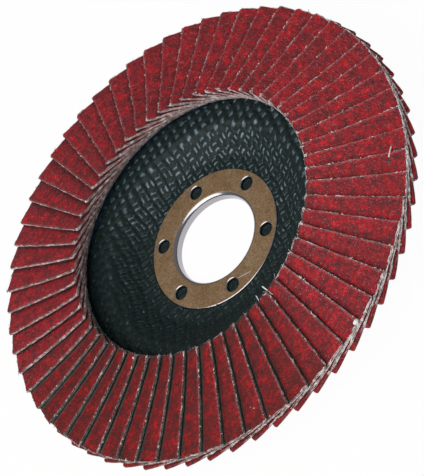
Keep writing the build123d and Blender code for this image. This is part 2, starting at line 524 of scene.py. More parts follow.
def longYarns(place, sideShade, fray, wideStepShade, rng):
    lead, tail, thick = disc["flapLead"], disc["flapTail"], disc["flapThickness"]
    n, loose = yarns["stations"], yarns["loose"]
    even, uneven, most = yarns["evenness"]
    s = np.linspace(0, 1, n)
    lengthwise = flapIn + yarns["endGap"][0] + s * (disc["flapLength"] - 2 * yarns["endGap"][0])
    crosswise = -tail + yarns["endGap"][1] + s * (lead + tail - 2 * yarns["endGap"][1])
    paths, radii, tones = [], [], []
    for edge, height, stand, outWander, upWander, radius, breaks in bareYarns:
        outer = edge == "outer"
        wander = outWander * (1 + yarns["frayedWander"] * fray * outer)
        out = stand + wander * smoothNoise(rng, n, 2)
        share = height + upWander * smoothNoise(rng, n, 3)
        x = lengthwise if edge == "free" else flapIn - out
        y = lead + out if edge == "free" else crosswise
        thin = even + uneven * np.clip(smoothNoise(rng, n, 2), -most, most)
        thin = thin * np.where(smoothNoise(rng, n, 3) < breaks, yarns["brokenRadius"], 1.0)
        run = coatRun(y) if outer else 0 * s
        thin = thin * (1 - yarns["coatedRadius"] * run) * (1 + yarns["frayedRadius"] * fray * outer)
        thin = thin * (1 - yarns["wideStepShadeRadius"] * wideStepShade * (edge == "free"))
        out = out - yarns["coatedIn"] * run
        x = flapOut + out if outer else x
        paths.append(np.stack([x, y, flapUnder(x, y) + share * thick], -1))
        radii.append(radius * thin)
        # yarns are darker on the side of the disc turned from the light, which is painted shade, and
        # where the coat has run
        shadedSide = sideShade * (1 - (1 - yarns["sideShadeOuter"]) * outer)
        tones.append(np.maximum(run, shadedSide) - yarns["frayedWhite"] * fray * outer)
    # a loose yarn hangs from the foot of the inner end, down to the plate
    y = -tail + loose["start"] + s * loose["length"]
    x = flapIn - loose["out"] - loose["outWander"] * np.abs(smoothNoise(rng, n, 2))
    z = flapUnder(x, y) - loose["drop"] + loose["upWander"] * smoothNoise(rng, n, 2)
    paths.append(np.stack([x, y, z], -1))
    radii.append(loose["radius"] + loose["uneven"] * np.clip(smoothNoise(rng, n, 2), -2, 2))
    tones.append(np.full(n, loose["tone"]))
    sides, tones = yarns["sides"], np.array(tones)
    made = tubes(toDisc(*np.moveaxis(np.array(paths), -1, 0), place), np.array(radii), sides)
    return made, np.concatenate([np.repeat(tones, sides, axis=1), tones[:, [0, -1]]], 1).ravel()


def shortEnds(place, sideShade, fray, rng, first):
    # they lie along the cut they come from, half of them in tufts
    lead, tail, thick = disc["flapLead"], disc["flapTail"], disc["flapThickness"]
    count, spread = ends["count"], ends["cornerSpread"]
    share = np.array(ends["shares"]) + [ends["sideShadeShare"] * sideShade, 0, ends["frayedShare"] * fray, 0]
    kind = rng.choice(4, count, p=share / share.sum())
    tufts = rng.random((4, ends["tufts"]))[kind, rng.integers(0, ends["tufts"], count)]
    t = np.where(rng.random(count) < ends["tuftShare"],
                 tufts + ends["tuftSpread"] * rng.standard_normal(count), rng.random(count))
    t = np.clip(t, 0, 1)
    cornerX = spread * np.abs(rng.standard_normal(count))
    across = lead - t * (lead + tail) * np.where(kind == 2, ends["outerReach"], 1.0)
    baseX = np.choose(kind, [flapIn + t * disc["flapLength"], np.full(count, flapIn),
                             np.full(count, flapOut + ends["outerStand"]), flapIn + cornerX])
    baseY = np.choose(kind, [np.full(count, lead), across, across,
                             lead - spread * np.abs(rng.standard_normal(count))])
    side = rng.choice([-1, 1], count)
    free, inner, outer, corner = np.repeat(ends["outwards"], count).reshape(4, -1)
    outX = np.choose(kind, [side, -inner, outer, -corner])
    outY = np.choose(kind, [free, side, side, ends["cornerAlong"] * side])
    outX = outX + ends["sway"] * rng.standard_normal(count)
    outY = outY + ends["sway"] * rng.standard_normal(count)
    rise = ends["rise"] * rng.standard_normal(count)
    reach = rng.gamma(ends["lengthShape"], ends["lengthScale"], count) + ends["leastLength"]
    bend = rng.standard_normal((count, 3)) * np.array(ends["bend"])
    low, high = ends["freeHeight"]
    height = np.where(kind == 0, rng.uniform(low + ends["sideShadeHeight"] * sideShade, high, count),
                      rng.uniform(*ends["endHeight"], count))
    start = np.stack([baseX, baseY, flapUnder(baseX, baseY) + height * thick], -1)
    direction = np.stack([outX, outY, rise], -1)
    direction /= np.linalg.norm(direction, axis=1, keepdims=True)
    # along the cut the ends follow the flap's climb
    ahead = start + direction * ends["climbOver"]
    climb = flapUnder(ahead[:, 0], ahead[:, 1]) - flapUnder(start[:, 0], start[:, 1])
    direction[:, 2] += climb / ends["climbOver"]
    q = np.linspace(0, 1, ends["stations"])[None, :, None]
    lie = direction[:, None] * (q - ends["behind"]) + bend[:, None] * q ** 2
    x, y, z = np.moveaxis(start[:, None] + reach[:, None, None] * lie, -1, 0)
    thin = rng.uniform(*ends["radius"], count) * (1 + ends["thicker"] * max(sideShade, fray))
    # ends are darker on the side of the disc turned from the light: painted shade
    tone = rng.uniform(ends["white"], ends["white"] + ends["sideShadeRange"] * sideShade, count)
    radii = thin[:, None] * np.array(ends["taper"])[None]
    made = tubes(toDisc(x, y, z, place), radii, ends["sides"], first)
    return made, np.repeat(tone, ends["stations"] * ends["sides"] + 2)


def coatedGrain():
    # ceramic grit in a red size coat: matt and mottled, bright red in clots where the coat lies
    # thick, maroon between, with small pale specks; a darker copy on the side turned from the light is
    # painted shade
    material, tree = newMaterial("redSizeCoatOnGrit")
    place = addNode(tree, "UVMap", {"uv_map": "pieceUv"})
    stretched = addNode(tree, "Mapping", inputs={"Vector": place, "Scale": (1.0, 0.8, 1.0)})
    cluster = addNode(tree, "TexNoise", inputs={   # clots of the coat, 0.8 by 1 mm
        "Vector": stretched, "Scale": 1.2, "Detail": 3.0, "Roughness": 0.62})
    patch = addNode(tree, "TexNoise", inputs={     # how thick the coat lies, about 3 mm
        "Vector": stretched, "Scale": 0.42, "Detail": 1.0, "Roughness": 0.5})
    grit = addNode(tree, "TexVoronoi", inputs={    # single grains, 0.35 mm
        "Vector": place, "Scale": 2.9, "Randomness": 1.0})
    gritShade = addNode(tree, "SeparateColor", inputs={"Color": grit.outputs["Color"]})
    both = addNode(tree, "Math", {"operation": "MULTIPLY_ADD"}, {0: patch, 1: 0.65, 2: cluster})
    all3 = addNode(tree, "Math", {"operation": "MULTIPLY_ADD"}, {0: gritShade, 1: 0.16, 2: both})
    level = addNode(tree, "MapRange", inputs={"Value": all3, "From Min": 0.53, "From Max": 1.28})
    colour = addNode(tree, "ValToRGB", inputs={"Fac": level}, stops=[
        (0.0, "#502427"), (1.0, "#e82e36"), (0.34, "#73262b"), (0.52, "#93232a"), (0.70, "#b71e27")])
    # a darker copy of the coat: painted shade on the side of the disc turned from the light
    shadedCoat = addNode(tree, "ValToRGB", inputs={"Fac": level}, stops=[
        (0.0, "#421c1c"), (1.0, "#d41d22"), (0.36, "#632120"), (0.54, "#7c1b1d"), (0.72, "#a0161b")])
    sideShade = addNode(tree, "Attribute", {"attribute_name": "tone"}).outputs["Fac"]
    toned = addNode(tree, "Mix", {"data_type": "RGBA"}, {0: sideShade, 6: colour, 7: shadedCoat})
    # painted shade in the step under the next flap's free edge, ragged and up to 2 mm wide; grey-green
    # on the shaded side
    step = addNode(tree, "Attribute", {"attribute_name": "step"}).outputs["Fac"]
    ragged = addNode(tree, "Math", {"operation": "MULTIPLY_ADD"}, {0: cluster, 1: 0.7, 2: step})
    inStep = addNode(tree, "MapRange", inputs={
        "Value": ragged, "From Min": 0.45, "From Max": 2.3, "To Min": 0.9, "To Max": 0.0})
    stepShade = addNode(tree, "Mix", {"data_type": "RGBA"}, {
        0: sideShade, 6: linear("#4e191e"), 7: linear("#505c57")})
    stepShaded = addNode(tree, "Mix", {"data_type": "RGBA"}, {0: inStep, 6: toned, 7: stepShade})
    # the free edge is painted paler: a painted highlight where it catches the light
    plan = addNode(tree, "SeparateXYZ", inputs={"Vector": place})
    raggedEdgeY = addNode(tree, "Math", {"operation": "MULTIPLY_ADD"},
                  {0: gritShade.outputs[1], 1: 0.5, 2: plan.outputs["Y"]})
    highlightShare = addNode(tree, "MapRange", inputs={
        "Value": raggedEdgeY, "From Min": disc["flapLead"] - 0.25, "From Max": disc["flapLead"] + 0.2,
        "To Max": 0.7})
    edged = addNode(tree, "Mix", {"data_type": "RGBA"}, {
        0: highlightShare, 6: stepShaded, 7: linear("#b4686b")})
    pale = addNode(tree, "TexVoronoi", inputs={    # pale specks, up to 0.3 mm wide
        "Vector": place, "Scale": 2.5, "Randomness": 1.0})
    tip = addNode(tree, "MapRange", inputs={
        "Value": pale, "From Min": 0.16, "From Max": 0.36, "To Min": 1.0, "To Max": 0.0})
    pick = addNode(tree, "SeparateColor", inputs={"Color": pale.outputs["Color"]})
    few = addNode(tree, "MapRange", inputs={
        "Value": pick.outputs[1], "From Min": 0.42, "From Max": 0.95})
    speck = addNode(tree, "Math", {"operation": "MULTIPLY"}, {0: tip, 1: few})
    paleShare = addNode(tree, "MapRange", inputs={     # fewer on the side of the disc with painted shade
        "Value": sideShade, "To Min": 0.62, "To Max": 0.12})
    strength = addNode(tree, "Math", {"operation": "MULTIPLY"}, {0: speck, 1: paleShare})
    mixed = addNode(tree, "Mix", {"data_type": "RGBA"}, {
        0: strength, 6: edged, 7: linear("#cf9a9e")})
    height = addNode(tree, "Math", {"operation": "ADD"}, {0: cluster, 1: grit.outputs["Distance"]})
    bump = addNode(tree, "Bump", inputs={"Strength": 0.8, "Distance": 0.0002, "Height": height})
    shader = addNode(tree, "BsdfPrincipled", inputs={
        "Base Color": mixed, "Roughness": 0.62, "Specular IOR Level": 0.3, "Normal": bump})
    return finishMaterial(material, shader)


def cutCloth():
    # polyester cloth filled with phenolic resin and cut through: pale yarn ends in grey-brown size,
    # and on the side of the disc turned from the light a darker grey-green copy with a few pale ends,
    # which is painted shade
    material, tree = newMaterial("cutPolyesterCloth")
    place = addNode(tree, "UVMap", {"uv_map": "pieceUv"})
    yarnEnds = addNode(tree, "Mapping", inputs={   # yarns 0.4 mm apart
        "Vector": place, "Scale": (2.6, 3.4, 1.0)})
    yarn = addNode(tree, "TexNoise", inputs={
        "Vector": yarnEnds, "Scale": 1.0, "Detail": 2.0, "Roughness": 0.6})
    plainCloth = addNode(tree, "ValToRGB", inputs={"Fac": yarn}, stops=[
        (0.30, "#54423f"), (0.72, "#cbbab6"), (0.50, "#94807c")])
    shadedSide = addNode(tree, "ValToRGB", inputs={"Fac": yarn}, stops=[
        (0.30, "#4c5b56"), (0.80, "#c9d3ce"), (0.60, "#82938b")])
    sideShade = addNode(tree, "Attribute", {"attribute_name": "tone"}).outputs["Fac"]
    colour = addNode(tree, "Mix", {"data_type": "RGBA"}, {0: sideShade, 6: plainCloth, 7: shadedSide})
    bump = addNode(tree, "Bump", inputs={"Strength": 0.8, "Distance": 0.0002, "Height": yarn})
    shader = addNode(tree, "BsdfPrincipled", inputs={
        "Base Color": colour, "Roughness": 0.8, "Specular IOR Level": 0.25, "Normal": bump})
    return finishMaterial(material, shader)


def backCloth():
    # the cloth's back: a tight plain weave, sized brown-red
    material, tree = newMaterial("sizedClothBack")
    place = addNode(tree, "UVMap", {"uv_map": "pieceUv"})
    warp, weft = (addNode(tree, "TexWave", {"bands_direction": direction}, {   # 0.5 mm apart
        "Vector": place, "Scale": 0.64, "Distortion": 0.6, "Detail": 1.0}) for direction in "XY")
    weave = addNode(tree, "Math", {"operation": "MULTIPLY"},
                    {0: warp.outputs["Fac"], 1: weft.outputs["Fac"]})
    colour = addNode(tree, "ValToRGB", inputs={"Fac": weave}, stops=[
        (0.0, "#3c2422"), (1.0, "#8c5f55")])
    bump = addNode(tree, "Bump", inputs={"Strength": 0.6, "Distance": 0.0001, "Height": weave})
    shader = addNode(tree, "BsdfPrincipled", inputs={
        "Base Color": colour, "Roughness": 0.7, "Normal": bump})
    return finishMaterial(material, shader)


def bareYarn():
    # polyester yarn pulled out of the cloth by the knife: off-white, dusty, a little pink, and
    # darker grey-green on the side of the disc turned from the light, which is painted shade
    material, tree = newMaterial("barePolyesterYarn")
    place = addNode(tree, "TexCoord").outputs["Object"]
    noise = addNode(tree, "TexNoise", inputs={     # changes every millimetre or so
        "Vector": place, "Scale": 900.0, "Detail": 2.5, "Roughness": 0.6})
    sideShade = addNode(tree, "Attribute", {"attribute_name": "tone"}).outputs["Fac"]
    level = addNode(tree, "Math", {"operation": "MULTIPLY_ADD"}, {0: sideShade, 1: -0.27, 2: noise})
    colour = addNode(tree, "ValToRGB", inputs={"Fac": level}, stops=[
        (0.14, "#47554f"), (0.72, "#fbf8f6"), (0.28, "#68756f"), (0.42, "#92807e"), (0.56, "#c2aeac")])
    shader = addNode(tree, "BsdfPrincipled", inputs={
        "Base Color": colour, "Roughness": 0.75, "Specular IOR Level": 0.3})
    return finishMaterial(material, shader)


def addFlaps(yarn):
    finishes = [coatedGrain(), cutCloth(), backCloth(), yarn]
    perPair = disc["flapsPerPair"]
    for pair in range(disc["flapCount"] // perPair):
        made = [flapShape(k) for k in range(pair * perPair, (pair + 1) * perPair)]
        starts = np.cumsum([0] + [len(flap["points"]) for flap in made])
        joined = {name: np.concatenate([flap[name] for flap in made])
                  for name in ("points", "finish", "uv", "tone", "step")}
        faces = [np.concatenate([flap[name] + start for flap, start in zip(made, starts)])
                 for name in ("quads", "yarnQuads", "yarnCaps")]
        finish = np.concatenate([joined["finish"], np.full(len(faces[1]) + len(faces[2]), 3)])
        spare = np.zeros((len(faces[1]) * 4 + len(faces[2]) * 3, 2))
        piece = makePiece(f"flaps_{pair + 1:02d}", joined["points"], faces, finishes, finish,
                          np.concatenate([joined["uv"], spare]),
                          {name: joined[name] for name in ("tone", "step")})
        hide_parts(f"flap_pair_{pair + 1:02d}")


yarn = bareYarn()
addFlaps(yarn)
print("flaps are laid")


plate = {
    "columns": 600,
    "yarnPitch": 2.5, "yarnTurn": 65.0,      # glass roving, mm and degrees
    "weaveDepth": 0.42,
    # the yarns wander: by how much, how fast and from where, in yarns
    "wanderU": [(0.10, 0.9, 1.0), (0.05, 2.3, 0.0)],
    "wanderV": [(0.10, 1.1, 2.0), (0.05, 2.1, 0.0)],
    "splitFrom": 27.5, "splitTo": 26.0,      # inside this radius each yarn shows as two strands
    "crossing": 0.5, "crown": 0.9, "filled": (1.4, 1.15),   # resin fills what lies lower
    "bareAndLitLeast": -0.40, "bareAndLitMost": 0.16, "plugBareAndLit": -1.2,   # the plugs are all resin
    "litSideTo": (95, 135), "litSideFrom": (255, 330),        # azimuths where the side with more painted highlight ends
    "wallAngle": 45, "wallFrom": (21, 23), "wallTo": (28, 30),   # and the patch of the wall facing the light, with the most painted highlight
    "fineStep": 0.29, "fineTo": 36.0, "coarseStep": 2.2, "backStep": 0.8,
    "edgeRadius": 0.4, "bendPoints": 9, "backTop": 0.3, "corner": 0.05,
    "frontFrom": 0.02, "frontStop": 0.5, "backStop": 0.15, "seatStop": 0.06,
    "firstRows": (0.2, 0.6),                 # the weave sets in over the first rows
}
plug = {
    "rings": 7, "sides": 24, "innermost": 0.06,
    "rough": 0.05, "dome": 0.16, "edgeDrop": 0.05, "middleDrop": 0.03, "root": 0.2,
}


def bentLine(corners, radius, offset):
    # a line through corners with rounded bends, moved sideways by offset
    corners = np.array(corners)
    along = np.diff(corners, axis=0)
    along = [a / np.linalg.norm(a) for a in along]
    normals = [np.array([-a[1], a[0]]) for a in along]
    out = [corners[0] - normals[0] * offset]
    for corner, before, after, normal in zip(corners[1:], along, along[1:], normals):
        bend = np.arctan2(before[0] * after[1] - before[1] * after[0], before @ after)
        start = corner - before * radius * np.tan(abs(bend) / 2)
        centre = start + normal * radius * np.sign(bend)
        for angle in bend * np.linspace(0, 1, plate["bendPoints"]):
            c, s = np.cos(angle), np.sin(angle)
            turned = np.array([normal[0] * c - normal[1] * s, normal[0] * s + normal[1] * c])
            out.append(centre - turned * radius * np.sign(bend) - turned * offset)
    out.append(corners[-1] - normals[-1] * offset)
    return np.array(out)


def evenPoints(line, step, start=0.0, end=None):
    # points at even steps along a line of points
    length = np.concatenate([[0], np.cumsum(np.hypot(*np.diff(line, axis=0).T))])
    end = length[-1] if end is None else end
    at = np.linspace(start, end, max(2, int(round((end - start) / step)) + 1))
    return np.stack([np.interp(at, length, line[:, 0]), np.interp(at, length, line[:, 1])], -1)


def weavePlan(x, y):
    # where a point lies in the cloth: counted in yarns along weft and warp, with a slow wander
    turn = np.radians(plate["yarnTurn"])
    u = (x * np.cos(turn) + y * np.sin(turn)) / plate["yarnPitch"]
    v = (-x * np.sin(turn) + y * np.cos(turn)) / plate["yarnPitch"]
    for size, rate, phase in plate["wanderU"]:
        u = u + size * np.sin(rate * v + phase)
    for size, rate, phase in plate["wanderV"]:
        v = v + size * np.sin(rate * u + phase)
    return u, v


def splitShare(r):
    # 1 where each yarn shows as two strands, 0 on the rim
    return smoothStep(-r, -plate["splitFrom"], -plate["splitTo"])


def bareAndLitShare(x, y):
    # painted highlight: the side of the dish that faces the light shows more bright crowns, most of
    # all a patch of its wall
    angle = np.degrees(np.arctan2(y, x)) % 360
    r = np.hypot(x, y)
    highlightShare = 1 - smoothStep(angle, *plate["litSideTo"]) + smoothStep(angle, *plate["litSideFrom"])
    near = np.maximum(0, np.cos(np.radians(angle - plate["wallAngle"]))) ** 3
    near = near * smoothStep(r, *plate["wallFrom"]) * (1 - smoothStep(r, *plate["wallTo"]))
    return plate["bareAndLitLeast"] * (1 - highlightShare) + plate["bareAndLitMost"] * near


def weaveHeight(x, y):
    # plain weave: each yarn is a rounded ridge that dips under every second one that crosses it;
    # the higher of warp and weft shows, and resin fills the lowest hollows: 0 at the crowns and
    # -1 below; a ridge is a parabola, and where it shows as two strands, half that and half the
    # two humps of a sine
    u, v = weavePlan(x, y)
    iu, iv = np.floor(u), np.floor(v)
    split = 0.5 * splitShare(np.hypot(x, y))
    ridgeU = (1 - split) * (1 - (2 * (u - iu) - 1) ** 2) + split * np.abs(np.sin(2 * np.pi * u))
    ridgeV = (1 - split) * (1 - (2 * (v - iv) - 1) ** 2) + split * np.abs(np.sin(2 * np.pi * v))
    crossing, crown = plate["crossing"], plate["crown"]
    warp = crossing * np.cos(np.pi * (v - 0.5 + iu)) + crown * ridgeU
    weft = -crossing * np.cos(np.pi * (u - 0.5 + iv)) + crown * ridgeV
    crest, drop = plate["filled"]
    return np.clip((np.maximum(warp, weft) - crest) / drop, -1, 0)


def plateProfile():
    # the closed section as points (r, z), and how much weave each one carries
    thick, hub = disc["plateThickness"], disc["hubRadius"]
    dish, out = disc["dishTopRadius"], disc["plateRadius"]
    hole, recess, floor = disc["holeRadius"], disc["recessRadius"], disc["recessFloor"]
    corner, edge = plate["corner"], plate["edgeRadius"]
    corners = [(recess, thick), (hub, thick), (dish, rimTop(dish)), (out, rimTop(out))]
    top = bentLine(corners, disc["bendRadius"], 0.0)
    corners[0] = (hole, thick)
    back = bentLine(corners, disc["bendRadius"], thick)
    length = np.cumsum(np.hypot(*np.diff(top, axis=0).T))
    fineEnd = np.interp(plate["fineTo"], top[1:, 0], length)
    frontEnd = length[-1] - plate["frontStop"]
    front = np.concatenate([evenPoints(top, plate["fineStep"], plate["frontFrom"], fineEnd),
                            evenPoints(top, plate["coarseStep"], fineEnd, frontEnd)[1:]])
    backLine = evenPoints(back, plate["backStep"])[::-1]
    backLine = backLine[backLine[:, 0] < out - edge - plate["backStop"]]
    turn = np.linspace(np.pi / 2, 0, 4)
    edgeR = top[-1][0] - edge + edge * np.cos(turn)
    upperEdge = np.stack([edgeR, top[-1][1] - edge + edge * np.sin(turn)], -1)
    lowerEdge = np.stack([edgeR, back[-1][1] + edge - edge * np.sin(turn)], -1)[::-1]
    seat = np.array([(hole, plate["backTop"]), (hole, floor - 2 * corner), (hole + corner, floor),
                     (recess - corner, floor), (recess, floor + corner),
                     (recess, thick - plate["seatStop"])])
    line = np.concatenate([seat, front, upperEdge, lowerEdge, backLine])
    weave = np.repeat([0, 1, 0, 1], [len(seat), len(front), len(upperEdge) * 2, len(backLine)])
    weave = weave.astype(float)
    weave[len(seat):len(seat) + 2] = plate["firstRows"]
    weave[-1] = 0.0
    return line, weave


def plateShape():
    line, weave = plateProfile()
    ahead = np.roll(line, -1, 0) - np.roll(line, 1, 0)
    ahead /= np.linalg.norm(ahead, axis=1, keepdims=True)
    normal = np.stack([-ahead[:, 1], ahead[:, 0]], -1)      # the line runs outwards on the front
    turn = np.linspace(0, 2 * np.pi, plate["columns"], endpoint=False)
    r0 = line[:, 0][:, None]
    x, y = r0 * np.cos(turn), r0 * np.sin(turn)
    depth = plate["weaveDepth"] * weave[:, None] * weaveHeight(x, y)
    r = r0 + normal[:, 0][:, None] * depth
    z = line[:, 1][:, None] + normal[:, 1][:, None] * depth + np.zeros_like(r)
    points = np.stack([r * np.cos(turn), r * np.sin(turn), z], -1).reshape(-1, 3)
    return points, gridFaces(len(line), plate["columns"], closeRows=True, closeColumns=True)


def plugs(first):
    # resin that keys into the ring's six holes: low domes with a rough top
    rng = np.random.default_rng(7)
    rings, sides, count = plug["rings"], plug["sides"], 6
    share = np.linspace(plug["innermost"], 1, rings)
    turn = np.linspace(0, 2 * np.pi, sides, endpoint=False)
    top, root = disc["plugTop"], disc["recessFloor"] - plug["root"]
    radius = np.append(share, 1.0)[:, None] * disc["plugRadius"]
    z = np.append(top - plug["edgeDrop"] - plug["dome"] * share ** 4, root)[:, None]
    points = []
    for angle in np.radians(disc["plugTurn"] + 360 / count * np.arange(count)):
        cx, cy = disc["plugCircle"] * np.cos(angle), disc["plugCircle"] * np.sin(angle)
        grid = np.stack([cx + radius * np.cos(turn), cy + radius * np.sin(turn),
                         z + np.zeros(sides)], -1)
        grid[:-1, :, 2] += plug["rough"] * rng.standard_normal((rings, sides))
        points += [grid.reshape(-1, 3), [(cx, cy, top - plug["middleDrop"]), (cx, cy, root)]]
    quads, caps = closedFaces(count, rings + 1, sides, first)
    return np.concatenate(points), quads[:, ::-1], caps[:, ::-1]


def wovenLaminate():
    # glass roving in black-green phenolic resin, pressed: dark and semi-gloss, with a blue-grey
    # dash on a strand's crown, partly glass bare of resin and partly a painted highlight where the
    # crown catches the light
    material, tree = newMaterial("wovenGlassLaminate")
    cloth = addNode(tree, "UVMap", {"uv_map": "pieceUv"})      # counted in yarns
    perYarn = 0.1 * np.pi       # a wave texture of this scale repeats once a yarn
    waves = {}
    for direction in "XY":
        for perCell in (1, 2):      # whole yarns and single strands, crest in the middle of each
            wave = addNode(tree, "TexWave", {"bands_direction": direction}, {
                "Vector": cloth, "Scale": perYarn * perCell, "Phase Offset": -np.pi / 2})
            waves[direction, perCell] = wave.outputs["Fac"]
    split = addNode(tree, "Attribute", {"attribute_name": "split"}).outputs["Fac"]
    dashes = []
    for across, lengthwise in ("XY", "YX"):
        ridge = addNode(tree, "Mix", {"data_type": "FLOAT"}, {
            0: split, 2: waves[across, 1], 3: waves[across, 2]})
        narrow = addNode(tree, "MapRange", inputs={
            "Value": ridge, "From Min": 0.25, "From Max": 1.0})
        short = addNode(tree, "MapRange", inputs={      # a dash is about 1.8 mm long
            "Value": waves[lengthwise, 1], "From Min": 0.05, "From Max": 0.5})
        dashes.append(addNode(tree, "Math", {"operation": "MULTIPLY"}, {0: narrow, 1: short}))
    over = addNode(tree, "TexChecker", inputs={
        "Vector": cloth, "Scale": 1.0, "Color1": (1, 1, 1, 1), "Color2": (0, 0, 0, 1)})
    crown = addNode(tree, "Mix", {"data_type": "FLOAT"}, {
        0: over.outputs["Fac"], 2: dashes[1], 3: dashes[0]})
    place = addNode(tree, "TexCoord").outputs["Object"]
    patch = addNode(tree, "TexNoise", inputs={     # where resin is thin, about 2 mm
        "Vector": place, "Scale": 480.0, "Detail": 3.0, "Roughness": 0.7})
    crownBareAndLit = addNode(tree, "Math", {"operation": "MULTIPLY_ADD"}, {0: patch, 1: 1.9, 2: crown})
    bareAndLit = addNode(tree, "Attribute", {"attribute_name": "bareAndLit"}).outputs["Fac"]
    # more bright crowns on the side facing the light: painted highlight
    crownBareAndLitBySide = addNode(tree, "Math", {"operation": "ADD"}, {0: crownBareAndLit, 1: bareAndLit})
    shown = addNode(tree, "MapRange", inputs={"Value": crownBareAndLitBySide, "From Min": 1.22, "From Max": 2.35})
    colour = addNode(tree, "ValToRGB", inputs={"Fac": shown}, stops=[
        (0.0, "#1f2b2a"), (1.0, "#919ea7"), (0.25, "#2a3838"), (0.6, "#5a6b74")])
    fine = addNode(tree, "TexNoise", inputs={      # filaments and pinholes, 0.3 mm
        "Vector": place, "Scale": 3000.0, "Detail": 2.0})
    height = addNode(tree, "Math", {"operation": "MULTIPLY_ADD"}, {0: fine, 1: 0.6, 2: crown})
    bump = addNode(tree, "Bump", inputs={"Strength": 0.8, "Distance": 0.0002, "Height": height})
    shader = addNode(tree, "BsdfPrincipled", inputs={
        "Base Color": colour, "Roughness": 0.36, "Specular IOR Level": 0.16, "Normal": bump})
    return finishMaterial(material, shader)


def addPlate():
    points, faces = plateShape()
    plugPoints, plugQuads, plugCaps = plugs(len(points))
    allPoints = np.concatenate([points, plugPoints])
    quads = np.concatenate([faces, plugQuads])
    cloth = np.stack(weavePlan(allPoints[:, 0], allPoints[:, 1]), -1)
    uv = np.concatenate([cloth[quads].reshape(-1, 2), cloth[plugCaps].reshape(-1, 2)])
    bareAndLit = bareAndLitShare(allPoints[:, 0], allPoints[:, 1])
    bareAndLit[len(points):] = plate["plugBareAndLit"]
    split = splitShare(np.hypot(allPoints[:, 0], allPoints[:, 1]))
    piece = makePiece("backingPlate", allPoints, [quads, plugCaps], [wovenLaminate()], uv=uv,
                      values={"split": split, "bareAndLit": bareAndLit})
    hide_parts("backing_plate")


addPlate()
print("backing plate is woven")


scratch = {"start": (-4.66, -13.83), "turn": -36.3, "length": 3.8, "width": 0.11}   # mm and degrees


def platedRing():
    # deep-drawn steel, zinc plated: tan on the faces that look straight up, satin with a fine
    # speckle, greyer where it is rubbed, and bright grey rolled edges
    material, tree = newMaterial("zincOnSteelTanOnFlats")
    place = addNode(tree, "TexCoord")
    normal = addNode(tree, "SeparateXYZ", inputs={"Vector": place.outputs["Normal"]})
    flat = addNode(tree, "MapRange", inputs={
        "Value": normal.outputs["Z"], "From Min": 0.93, "From Max": 0.985})
    cloud = addNode(tree, "TexNoise", inputs={     # rubbed patches of 4 mm
        "Vector": place.outputs["Object"], "Scale": 240.0, "Detail": 4.0, "Roughness": 0.6})
    speck = addNode(tree, "TexNoise", inputs={     # pits in the plating, 0.3 mm
        "Vector": place.outputs["Object"], "Scale": 2800.0, "Detail": 1.0})
    calm = addNode(tree, "Math", {"operation": "MULTIPLY"}, {0: cloud, 1: 0.35})
    shade = addNode(tree, "Math", {"operation": "MULTIPLY_ADD"}, {0: speck, 1: 0.6, 2: calm})
    tan = addNode(tree, "ValToRGB", inputs={"Fac": shade}, stops=[
        (0.28, "#a98762"), (0.70, "#eed6b4"), (0.48, "#d0a97e")])
    colour = addNode(tree, "Mix", {"data_type": "RGBA"}, {0: flat, 6: linear("#b1aeb3"), 7: tan})
    rough = addNode(tree, "MapRange", inputs={"Value": flat, "To Min": 0.17, "To Max": 0.38})
    # one scratch across the flange: along X in its own frame, in mm
    mark = addNode(tree, "Mapping", {"vector_type": "TEXTURE"}, {
        "Vector": place.outputs["Object"], "Scale": (mm, mm, mm),
        "Location": (scratch["start"][0] * mm, scratch["start"][1] * mm, 0.0),
        "Rotation": (0.0, 0.0, np.radians(scratch["turn"]))})
    markPlan = addNode(tree, "SeparateXYZ", inputs={"Vector": mark})
    off = addNode(tree, "Math", {"operation": "ABSOLUTE"}, {0: markPlan.outputs["Y"]})
    thin = addNode(tree, "MapRange", inputs={
        "Value": off, "From Min": 0.4 * scratch["width"], "From Max": scratch["width"],
        "To Min": 1.0, "To Max": 0.0})
    half = scratch["length"] / 2
    fromMiddle = addNode(tree, "Math", {"operation": "SUBTRACT"}, {0: markPlan, 1: half})
    away = addNode(tree, "Math", {"operation": "ABSOLUTE"}, {0: fromMiddle})
    within = addNode(tree, "MapRange", inputs={
        "Value": away, "From Min": half - 0.5, "From Max": half, "To Min": 1.0, "To Max": 0.0})
    scratched = addNode(tree, "Math", {"operation": "MULTIPLY"}, {0: thin, 1: within})
    # the scratch is painted near-white and less metallic: a painted highlight of its bare metal
    marked = addNode(tree, "Mix", {"data_type": "RGBA"}, {
        0: scratched, 6: colour, 7: linear("#f4efe4")})
    metal = addNode(tree, "MapRange", inputs={"Value": scratched, "To Min": 1.0, "To Max": 0.35})
    bump = addNode(tree, "Bump", inputs={"Strength": 0.2, "Distance": 0.00004, "Height": shade})
    shader = addNode(tree, "BsdfPrincipled", inputs={
        "Base Color": marked, "Metallic": metal, "Roughness": rough, "Normal": bump})
    return finishMaterial(material, shader)


def blueResin():
    # epoxy with a dark blue filler: smooth, slightly glossy
    material, tree = newMaterial("blueEpoxy")
    place = addNode(tree, "TexCoord").outputs["Object"]
    noise = addNode(tree, "TexNoise", inputs={"Vector": place, "Scale": 700.0, "Detail": 2.0})
    colour = addNode(tree, "ValToRGB", inputs={"Fac": noise}, stops=[
        (0.45, "#0c1416"), (0.75, "#1c3f5c")])
    bump = addNode(tree, "Bump", inputs={"Strength": 0.4, "Distance": 0.0001, "Height": noise})
    shader = addNode(tree, "BsdfPrincipled", inputs={
        "Base Color": colour, "Roughness": 0.4, "Normal": bump})
    return finishMaterial(material, shader)


